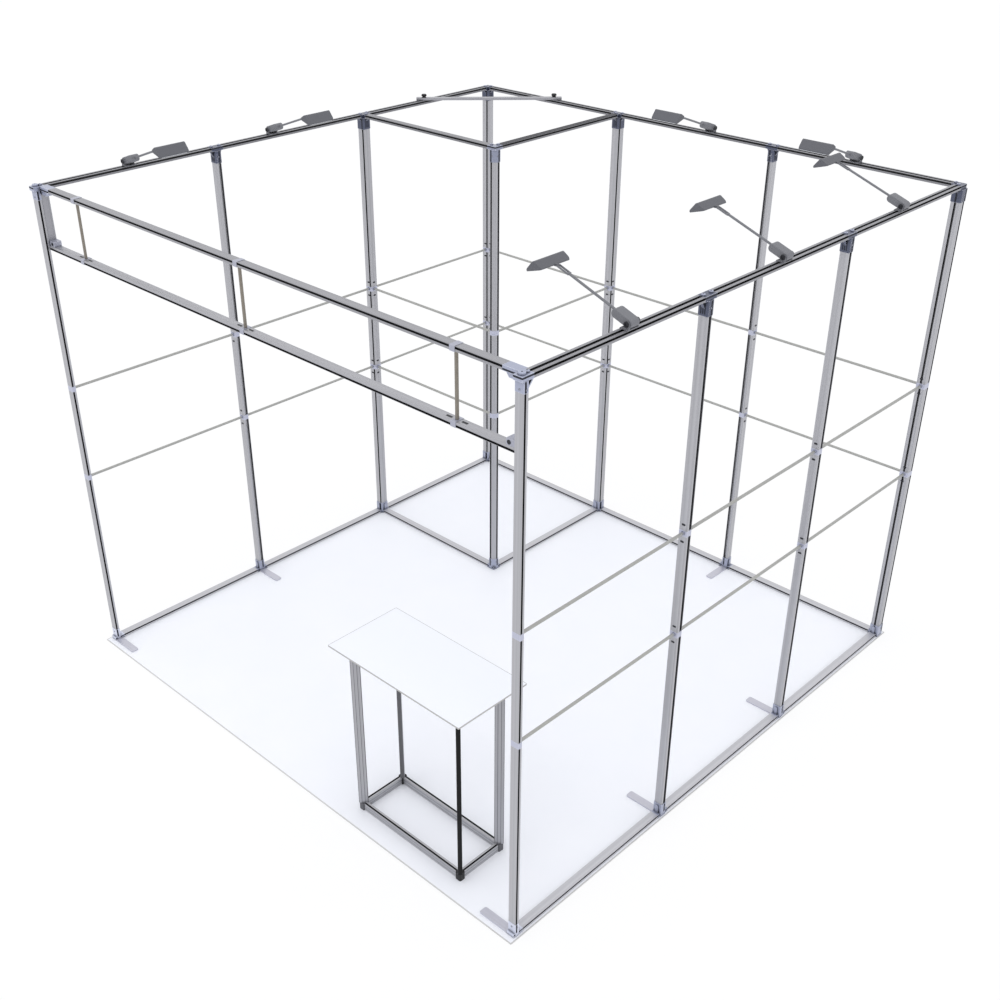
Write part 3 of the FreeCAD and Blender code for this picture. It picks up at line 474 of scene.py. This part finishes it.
# Cam locks: an oval key plate above and below each brace rail, on the face of the post towards the rail.
# They are stamped from blacked steel and turn a cam that holds the rail's end.
black_steel = grained("black_oxide_steel", 2.0, "1f2024", "3b3c42", Roughness=0.42, Metallic=0.5)
brace_half = 0.0055
lock_rise = 0.040
brace_low, brace_high = (corner[2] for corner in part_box("left_brace_rails"))
lock_levels = [height + step * lock_rise for height in (brace_low + brace_half, brace_high - brace_half)
               for step in (-1, 1)]
locks = []
for run in wall_runs:
    for first, second in zip(run, run[1:]):
        for here, there in ((first, second), (second, first)):
            middle, half = centre_and_half(here)
            way = (centre_and_half(there)[0] - middle).normalized()
            spot = middle + way * face_reach(half, way)
            for level in lock_levels:
                locks.append((Vector((spot.x, spot.y, level)), way, upward.cross(way)))
laid_out("brace_cam_locks", locks, plate_tree("cam_locks", black_steel), "stand",
         {"Length": 0.018, "Width": 0.009, "Stand": 0.0008, "Corner": 0.0045, "Sunk Share": 0.6})


# Connector screws: button heads with a hexagon socket, driven through the free faces of the sleeves.
# Bright zinc plating gives a pale sheen with soft cloudy patches, and painted shade darkens the hexagon
# sockets.
same_point = 1e-6
crown_share = 0.72
seat_share = 0.25


def solids_of(name):
    """The box corners of each separate solid in a CAD node's mesh."""
    copy = bmesh.new()
    copy.from_mesh(nodes[name].data)
    bmesh.ops.remove_doubles(copy, verts=copy.verts, dist=same_point)
    left = set(copy.verts)
    found = []
    while left:
        group = set()
        to_visit = [left.pop()]
        while to_visit:
            vertex = to_visit.pop()
            group.add(vertex)
            for edge in vertex.link_edges:
                other = edge.other_vert(vertex)
                if other in left:
                    left.remove(other)
                    to_visit.append(other)
        columns = list(zip(*(vertex.co for vertex in group)))
        found.append((Vector(map(min, columns)), Vector(map(max, columns))))
    copy.free()
    return found


def screw_tree(name, material):
    """A tree that sets a button head screw with a hexagon socket at each place."""
    tree = bpy.data.node_groups.new(name, "GeometryNodeTree")
    tree.interface.new_socket("Geometry", in_out="INPUT", socket_type="NodeSocketGeometry")
    for size in ("Head Radius", "Head Height", "Socket Radius"):
        tree.interface.new_socket(size, in_out="INPUT", socket_type="NodeSocketFloat")
    tree.interface.new_socket("Geometry", in_out="OUTPUT", socket_type="NodeSocketGeometry")
    given = add(tree, "NodeGroupInput").outputs
    half = add(tree, "ShaderNodeMath", {0: given["Head Height"], 1: 0.5}, operation="MULTIPLY").outputs[0]
    drum = add(tree, "GeometryNodeMeshCylinder",
               {"Vertices": 20, "Radius": given["Head Radius"], "Depth": half}, fill_type="NGON")
    crown = add(tree, "GeometryNodeExtrudeMesh",
                {"Mesh": drum.outputs["Mesh"], "Selection": drum.outputs["Top"], "Offset Scale": half})
    button = add(tree, "GeometryNodeScaleElements",
                 {"Geometry": crown.outputs["Mesh"], "Selection": crown.outputs["Top"],
                  "Scale": crown_share}).outputs[0]
    key = add(tree, "GeometryNodeMeshCylinder",
              {"Vertices": 6, "Radius": given["Socket Radius"], "Depth": given["Head Height"]},
              fill_type="NGON")
    lift = add(tree, "ShaderNodeCombineXYZ", {"Z": given["Head Height"]}).outputs[0]
    raised_key = add(tree, "GeometryNodeTransform", {"Geometry": key.outputs["Mesh"], "Translation": lift})
    cut = add(tree, "GeometryNodeMeshBoolean", {"Mesh 1": button, "Mesh 2": raised_key.outputs[0]},
              operation="DIFFERENCE", solver="EXACT").outputs[0]
    seat = add(tree, "ShaderNodeMath", {0: given["Head Height"], 1: seat_share},
               operation="MULTIPLY").outputs[0]
    base = add(tree, "ShaderNodeCombineXYZ", {"Z": seat}).outputs[0]
    head = add(tree, "GeometryNodeTransform", {"Geometry": cut, "Translation": base}).outputs[0]
    facing = add(tree, "GeometryNodeInputNamedAttribute", {"Name": "facing"},
                 data_type="FLOAT_VECTOR").outputs[0]
    outward = add(tree, "FunctionNodeAlignRotationToVector", {"Vector": facing}, axis="Z").outputs[0]
    driven = add(tree, "GeometryNodeInstanceOnPoints",
                 {"Points": given["Geometry"], "Instance": head, "Rotation": outward}).outputs[0]
    solid = add(tree, "GeometryNodeRealizeInstances", {"Geometry": driven}).outputs[0]
    dressed = add(tree, "GeometryNodeSetMaterial", {"Geometry": solid, "Material": material}).outputs[0]
    add(tree, "NodeGroupOutput", {"Geometry": dressed})
    return tree


plated, tree, shader = finish_named("zinc_plated_steel", Metallic=0.8, Roughness=0.32)
patches = add(tree, "ShaderNodeMix", {0: grain(tree, 6.0), 6: linear("8d8f9a"), 7: linear("a9abb6")},
              data_type="RGBA").outputs[2]
# Painted shade: the socket colour goes where ambient occlusion finds the hexagon recess.
unshaded = occlusion_share(tree, 0.003, closed=0.4, clear=0.9)
socket_shaded = add(tree, "ShaderNodeMix", {0: unshaded, 6: linear("15161a"), 7: patches}, data_type="RGBA").outputs[2]
tree.links.new(socket_shaded, shader.inputs["Base Color"])
screws = []
for low, high in solids_of("connector_screws"):
    size = high - low
    thin = min(range(3), key=lambda axis: size[axis])
    spot = (low + high) / 2
    post = min((centre_and_half(name)[0] for name in post_names), key=lambda c: (c.xy - spot.xy).length)
    way = Vector((0, 0, 0))
    way[thin] = math.copysign(1, spot[thin] - post[thin])
    screws.append((spot - way * size[thin] / 2, way, upward))
heads = laid_out("button_head_screws", screws, screw_tree("button_heads", plated), "stand",
                 {"Head Radius": 0.004, "Head Height": 0.002, "Socket Radius": 0.002})
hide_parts("connector_screws")


# Storeroom seal: a grey rubber strip pressed along the top of the storeroom rail that runs front to back.
# It closes the rail's upper slot against dust; extruding leaves fine streaks along it.
seal = grained("extruded_grey_seal", 6.0, "3a3a3e", "505054", (1, 0.01, 1), Roughness=0.65)
deep_rail = max(solids_of("storeroom_top_rails"), key=lambda box: box[1].y - box[0].y)
seal_spot = (deep_rail[0] + deep_rail[1]) / 2
seal_spot.z = deep_rail[1].z
laid_out("storeroom_rail_seal", [(seal_spot, upward, sides["back"])], plate_tree("rail_seal", seal), "stand",
         {"Length": deep_rail[1].y - deep_rail[0].y, "Width": 0.032, "Stand": 0.0012,
                           "Corner": 0.001, "Sunk Share": 0.8})


# Foot plates: flat plates of satin aluminium on the floor sheet, from the base connectors into the stand.
# They are sawn to length and brushed, with rounded corners at the free end.
dress(anodised("satin_aluminium_foot_plates", 0, "cfcfd8", "c0c0ca", "8a8a90"), "foot_plates")


# Header: two slotted beams across the open front, tied by two short uprights and three thin struts.
# The struts are bronze-toned tube, held by thin cast bands round the beams.
dress(anodised("anodised_aluminium_header_top", 0, "b0b0b4", "8a8a8e", "2c2c30"), "header_top_beam")
dress(anodised("anodised_aluminium_header_lower", 0, "bebec2", "9a9a9e", "2c2c30"), "header_lower_beam")
dress(anodised("anodised_aluminium_uprights", 2, "b4b4b8", "84848a"), "header_uprights")
dress(drawn_tube("bronze_toned_strut_tube", "7c766c", "968f83"), "header_struts")
dress(casting("lacquered_zinc_header_clips", "b2b4c0", "a2a4b1", "2b3044", reach=0.010, edge_highlight="c2c4d0"),
      "header_clips")
dress(black_steel, "header_locks")

# Windows in the lower beam: a blacked steel plate on each side of a strut's foot.
window_reach = 0.038
lower_beam, lower_half = centre_and_half("header_lower_beam")
windows = []
for low, high in solids_of("header_struts"):
    for side in (-1, 1):
        spot = Vector(((low.x + high.x) / 2 + side * window_reach, lower_beam.y, lower_beam.z + lower_half.z))
        windows.append((spot, upward, sides["right"]))
laid_out("header_beam_windows", windows, plate_tree("beam_windows", black_steel), "stand",
         {"Length": 0.028, "Width": 0.010, "Stand": 0.0006, "Corner": 0.002, "Sunk Share": 0.75})

# Sleeve slots: the top beam's front slot runs on as a groove across the sleeve at each end, drawn as a near
# black plate of painted shade.
sleeve_front = -1.4825
sleeve_inner = 1.4200
sleeve_outer = 1.4930
sleeve_middle = (sleeve_inner + sleeve_outer) / 2
beam_slot_level = 2.5298
sleeve_slots = [(Vector((side * sleeve_middle, sleeve_front, beam_slot_level)),
                 sides["front"], sides["right"]) for side in (-1, 1)]
laid_out("header_sleeve_slots", sleeve_slots, mouth_tree, "stand",
         {"Length": sleeve_outer - sleeve_inner, "Width": 0.0060, "Stand": groove_stand, "Corner": 0.001,
          "Sunk Share": 0.8})


# Corner tie bar and its two hand knobs: a flat hollow bar across the storeroom's back corner, satin anodised.
# The knobs are moulded black nylon with a matt skin and upright grip ribs.
tie_finish = grained("anodised_aluminium_tie", 4.0, "9d9da2", "b0b0b4", Metallic=0.55, Roughness=0.4)
dress(tie_finish, "corner_tie_bar")
nylon = grained("moulded_black_nylon", 0.9, "0c0c0e", "1d1d20", relief=0.2, Roughness=0.5)
dress(nylon, "tie_knob_left", "tie_knob_back")
grip_tree = plate_tree("grip_ribs", nylon)
grip_ribs = 14
grip_drop = 0.0065
for name in ("tie_knob_left", "tie_knob_back"):
    middle, half = centre_and_half(name)
    level = middle.z + half.z - grip_drop
    ribs = []
    for step in range(grip_ribs):
        turn = 2 * math.pi * step / grip_ribs
        way = Vector((math.cos(turn), math.sin(turn), 0))
        ribs.append((Vector((middle.x, middle.y, level)) + way * half.x, way, upward))
    laid_out(name + "_grip", ribs, grip_tree, name,
             {"Length": 0.007, "Width": 0.0022, "Stand": 0.0008, "Corner": 0.0008, "Sunk Share": 0.6})


# Counter: a white laminated board on a small frame of the same slotted bars, joined by moulded corner blocks.
# A pale grey line of painted shade runs along the board's edge; black rubber strips close the outer slots of
# the legs, and grey strips of painted shade sit in the inner ones.
board_edge_shade_width = 0.0025
melamine, tree, shader = finish_named("white_melamine_board", Roughness=0.4)
board = add(tree, "ShaderNodeMix", {0: grain(tree, 2.0), 6: linear("f2f5fb"), 7: linear("f8fafe")},
            data_type="RGBA").outputs[2]
# Painted shade: a pale grey band along the board's edges, set by position.
board_edge_shaded = add(tree, "ShaderNodeMix", {0: rim(tree, "counter_top", board_edge_shade_width), 6: board, 7: linear("b4b3af")},
             data_type="RGBA").outputs[2]
tree.links.new(board_edge_shaded, shader.inputs["Base Color"])
dress(melamine, "counter_top")
counter_legs = solids_of("counter_posts")
counter_middle, counter_half = centre_and_half("counter_posts")
leg_reach = (counter_legs[0][0] + counter_legs[0][1]) / 2 - counter_middle
score_place = 0.0075
score_half = 0.0012


def near_score(tree, distance):
    """One on the two thin lines that the die scores along a broad face, by the distance from its middle."""
    side = add(tree, "ShaderNodeMath", {0: distance}, operation="ABSOLUTE").outputs[0]
    past = add(tree, "ShaderNodeMath", {0: side, 1: score_place}, operation="SUBTRACT").outputs[0]
    off = add(tree, "ShaderNodeMath", {0: past}, operation="ABSOLUTE").outputs[0]
    return add(tree, "ShaderNodeMath", {0: off, 1: score_half}, operation="LESS_THAN").outputs[0]


def leg_scores(tree):
    """The scored lines of the legs, whose broad faces lie along the diagonals of the frame."""
    place = add(tree, "ShaderNodeTexCoord").outputs["Object"]
    centred = add(tree, "ShaderNodeMapping", {"Vector": place, "Location": -counter_middle}).outputs["Vector"]
    folded = add(tree, "ShaderNodeVectorMath", {0: centred}, operation="ABSOLUTE").outputs["Vector"]
    diagonal = Vector((1, 1, 0)).normalized()
    outward = add(tree, "ShaderNodeVectorMath", {0: folded, 1: diagonal},
                  operation="DOT_PRODUCT").outputs["Value"]
    leg = diagonal.dot(Vector((abs(leg_reach.x), abs(leg_reach.y), 0)))
    past = add(tree, "ShaderNodeMath", {0: outward, 1: leg}, operation="SUBTRACT").outputs[0]
    return near_score(tree, past)


def rail_scores(tree):
    """The scored lines of the rails at the floor and under the top."""
    low, high = (corner[2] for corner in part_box("counter_rails"))
    gap = high - low - bar_width
    place = add(tree, "ShaderNodeTexCoord").outputs["Object"]
    height = add(tree, "ShaderNodeSeparateXYZ", {"Vector": place}).outputs["Z"]
    above = add(tree, "ShaderNodeMath", {0: height, 1: low + bar_width / 2}, operation="SUBTRACT").outputs[0]
    folded = add(tree, "ShaderNodeMath", {0: above, 1: gap / 2, 2: -gap / 2}, operation="WRAP").outputs[0]
    return near_score(tree, folded)


def end_rails(tree):
    """One on the short rails at the counter's two ends, and nought on the long ones between them."""
    return rim(tree, "counter_rails", bar_width / 2 + bar_margin, ends=(0,))


dress(anodised("anodised_aluminium_counter_posts", 2, "c0c0c3", "94949a", scored=leg_scores), "counter_posts")
dress(anodised("anodised_aluminium_counter_rails", 0, "c8c8cb", "9a9a9e",
               scored=rail_scores, crossing=end_rails), "counter_rails")

# Moulded corner blocks: black nylon at the near and the far corner, grey at the other two.
block_finish, tree, shader = finish_named("moulded_corner_nylon", Roughness=0.55)
skin = grain(tree, 0.9)
place = add(tree, "ShaderNodeTexCoord").outputs["Object"]
centred = add(tree, "ShaderNodeMapping", {"Vector": place, "Location": -counter_middle}).outputs["Vector"]
axes = add(tree, "ShaderNodeSeparateXYZ", {"Vector": centred}).outputs
corner = add(tree, "ShaderNodeMath", {0: axes["X"], 1: axes["Y"]}, operation="MULTIPLY").outputs[0]
grey_corner = add(tree, "ShaderNodeMath", {0: corner, 1: 0.0}, operation="GREATER_THAN").outputs[0]
black = add(tree, "ShaderNodeMix", {0: skin, 6: linear("08080a"), 7: linear("161618")}, data_type="RGBA")
grey = add(tree, "ShaderNodeMix", {0: skin, 6: linear("4c4c50"), 7: linear("606064")}, data_type="RGBA")
blocks = add(tree, "ShaderNodeMix", {0: grey_corner, 6: black.outputs[2], 7: grey.outputs[2]},
             data_type="RGBA")
tree.links.new(blocks.outputs[2], shader.inputs["Base Color"])
pebble = add(tree, "ShaderNodeBump", {"Height": skin, "Strength": 0.2, "Distance": 0.0001})
tree.links.new(pebble.outputs["Normal"], shader.inputs["Normal"])
dress(block_finish, "counter_corner_blocks")

# Slot strips: black rubber on the outer side of each leg, streaked by extruding; the grey strips on the inner
# side are painted shade.
for label, dark, light, facing in (("black", "060607", "171718", 1), ("grey", "5a5a5c", "727274", -1)):
    strip_finish = grained("extruded_" + label + "_rubber", 4.0, dark, light, (1, 1, 0.01),
                     relief=0.3, depth=0.0003, Roughness=0.7, Specular_IOR_Level=0.3)
    strips = []
    for low, high in counter_legs:
        spot = (low + high) / 2
        away = spot - counter_middle
        way = Vector((math.copysign(1, away.x), math.copysign(1, away.y), 0)).normalized() * facing
        strips.append((spot + way * bar_width / 2, way, upward))
    laid_out("counter_" + label + "_strips", strips, plate_tree(label + "_slot_strips", strip_finish), "stand",
             {"Length": 2 * counter_half.z, "Width": 0.0196, "Stand": 0.0012,
                               "Corner": 0.001, "Sunk Share": 0.9})


# Arm floodlights: seven clamps on the top rails, each with a tilting arm and a tilting wedge-shaped head.
# Cast aluminium and tube in grey powder coat, darker on the heads, turning on black steel pins.
def powder_coat(name, dark, light):
    """Powder coat: an even grey with a very fine orange peel."""
    return grained(name, 1.4, dark, light, relief=0.15, Metallic=0.1, Roughness=0.5)


lamp_names = [name.removesuffix("_head") for name in nodes
              if name.startswith("lamp_") and name.endswith("_head")]
dress(powder_coat("dark_grey_powder_coat", "56575c", "68696e"), *[name + "_head" for name in lamp_names])
dress(powder_coat("mid_grey_powder_coat", "6c6d71", "808185"),
      "lamp_clamps", *[name + "_arm" for name in lamp_names])
dress(black_steel, "lamp_pivot_pins")

# Pressed glass: a milky pane with cross ribs, sunk in the underside of each head.
glass = grained("pressed_prismatic_glass", 7.0, "dfe4e6", "f4f6f6", (1, 1, 0.2),
                Roughness=0.12, Coat_Weight=0.6)
pane_tree = plate_tree("lamp_panes", glass)
pane_rib_tree = plate_tree("lamp_pane_ribs", glass)
pivots = {joint["child"]: Vector(joint["pos_m"]) for joint in frame["joints"]}
inward = {"left": sides["right"], "back": sides["front"], "right": sides["left"]}
pane_heel = Vector((0.008, 0, 0))
pane_tip = Vector((0.092, 0, -0.025))
pane_length = 0.0646
pane_width = 0.141
pane_depth = 0.0024
pane_ribs = 13
rib_rise = 0.0005
rib_margin = 0.012
slope = (pane_tip - pane_heel).normalized()
for name in lamp_names:
    pivot = pivots[name + "_head"]
    way = inward[name.split("_")[1]]
    fall = way * slope.x + upward * slope.z
    across = upward.cross(way)
    under = fall.cross(across).normalized()
    if under.z > 0:
        under = -under
    middle = pivot + (way * (pane_heel.x + pane_tip.x) + upward * (pane_heel.z + pane_tip.z)) / 2
    laid_out(name + "_pane", [(middle - under * pane_depth, under, across)], pane_tree, name + "_head",
             {"Length": pane_width, "Width": pane_length, "Stand": 0.0012, "Corner": 0.004,
                                 "Sunk Share": 0.96})
    rows = []
    for step in range(pane_ribs):
        offset = (step - (pane_ribs - 1) / 2) * pane_length / (pane_ribs + 1)
        rows.append((middle - under * (pane_depth - rib_rise) + fall * offset, under, across))
    laid_out(name + "_pane_ribs", rows, pane_rib_tree, name + "_head",
             {"Length": pane_width - rib_margin, "Width": 0.0026, "Stand": 0.0014, "Corner": 0.001,
              "Sunk Share": 0.7})


# Hall floor and light: a plain white floor, an even white sky and one wide soft sun lamp high in front.
# None of it belongs to the stand.
def seen_directly(tree):
    """One on rays from the camera, off shiny faces or through glass, and nought on the rest."""
    ray = add(tree, "ShaderNodeLightPath").outputs
    seen = add(tree, "ShaderNodeMath", {0: ray["Is Camera Ray"], 1: ray["Is Glossy Ray"]},
               operation="MAXIMUM")
    return add(tree, "ShaderNodeMath", {0: seen.outputs[0], 1: ray["Is Transmission Ray"]},
               operation="MAXIMUM").outputs[0]


floor_half = 40.0
floor_level = -0.0006
floor_glow = 0.8
floor_corners = [(x * floor_half, y * floor_half, floor_level)
                 for x, y in ((-1, -1), (1, -1), (1, 1), (-1, 1))]
floor_mesh = bpy.data.meshes.new("hall_floor")
floor_mesh.from_pydata(floor_corners, [], [(0, 1, 2, 3)])
floor = bpy.data.objects.new("hall_floor", floor_mesh)
bpy.context.scene.collection.objects.link(floor)
hall, tree, shader = finish_named("white_hall_floor", Roughness=0.9, Base_Color=linear("ffffff"))
white = add(tree, "ShaderNodeEmission", {"Color": linear("ffffff"), "Strength": 1.0}).outputs[0]
share = add(tree, "ShaderNodeMath", {0: seen_directly(tree), 1: floor_glow}, operation="MULTIPLY").outputs[0]
mixed = add(tree, "ShaderNodeMixShader", {0: share, 1: shader.outputs[0], 2: white}).outputs[0]
tree.links.new(mixed, tree.nodes["Material Output"].inputs["Surface"])
floor_mesh.materials.append(hall)

world = bpy.data.worlds.new("even_white_sky")
bpy.context.scene.world = world
world.use_nodes = True
tree = world.node_tree
sky = tree.nodes["Background"]
sky.inputs["Color"].default_value = linear("f4f5fb")
sky.inputs["Strength"].default_value = 1.0
backdrop = add(tree, "ShaderNodeBackground", {"Color": linear("ffffff"), "Strength": 1.0}).outputs[0]
mixed = add(tree, "ShaderNodeMixShader", {0: seen_directly(tree), 1: sky.outputs[0], 2: backdrop}).outputs[0]
tree.links.new(mixed, tree.nodes["World Output"].inputs["Surface"])

key_way = Vector((0.02, 0.24, -0.95))
key = bpy.data.objects.new("soft_key_lamp", bpy.data.lights.new("soft_key_lamp", "SUN"))
key.data.energy = 0.5
key.data.angle = math.radians(60)
key.rotation_euler = key_way.to_track_quat("-Z", "Y").to_euler()
bpy.context.scene.collection.objects.link(key)

view_place = Vector((4.0040, -4.2279, 4.1839))
view_right = Vector((0.71975, 0.69423, 0.0005)).normalized()
view_look = Vector((-0.59605, 0.61833, -0.51224)).normalized()
view_up = view_right.cross(view_look).normalized()
view_right = view_look.cross(view_up)
view_turn = Matrix((view_right, view_up, -view_look)).transposed().to_4x4()
view = bpy.data.objects.new("camera", bpy.data.cameras.new("camera"))
view.matrix_world = Matrix.Translation(view_place) @ view_turn
view.data.sensor_width = 36.0
view.data.lens = 45.778
view.data.shift_x = 0.0118
view.data.shift_y = 0.0275
view.data.clip_end = 200.0
bpy.context.scene.collection.objects.link(view)
bpy.context.scene.camera = view
bpy.context.scene.view_settings.view_transform = "Standard"
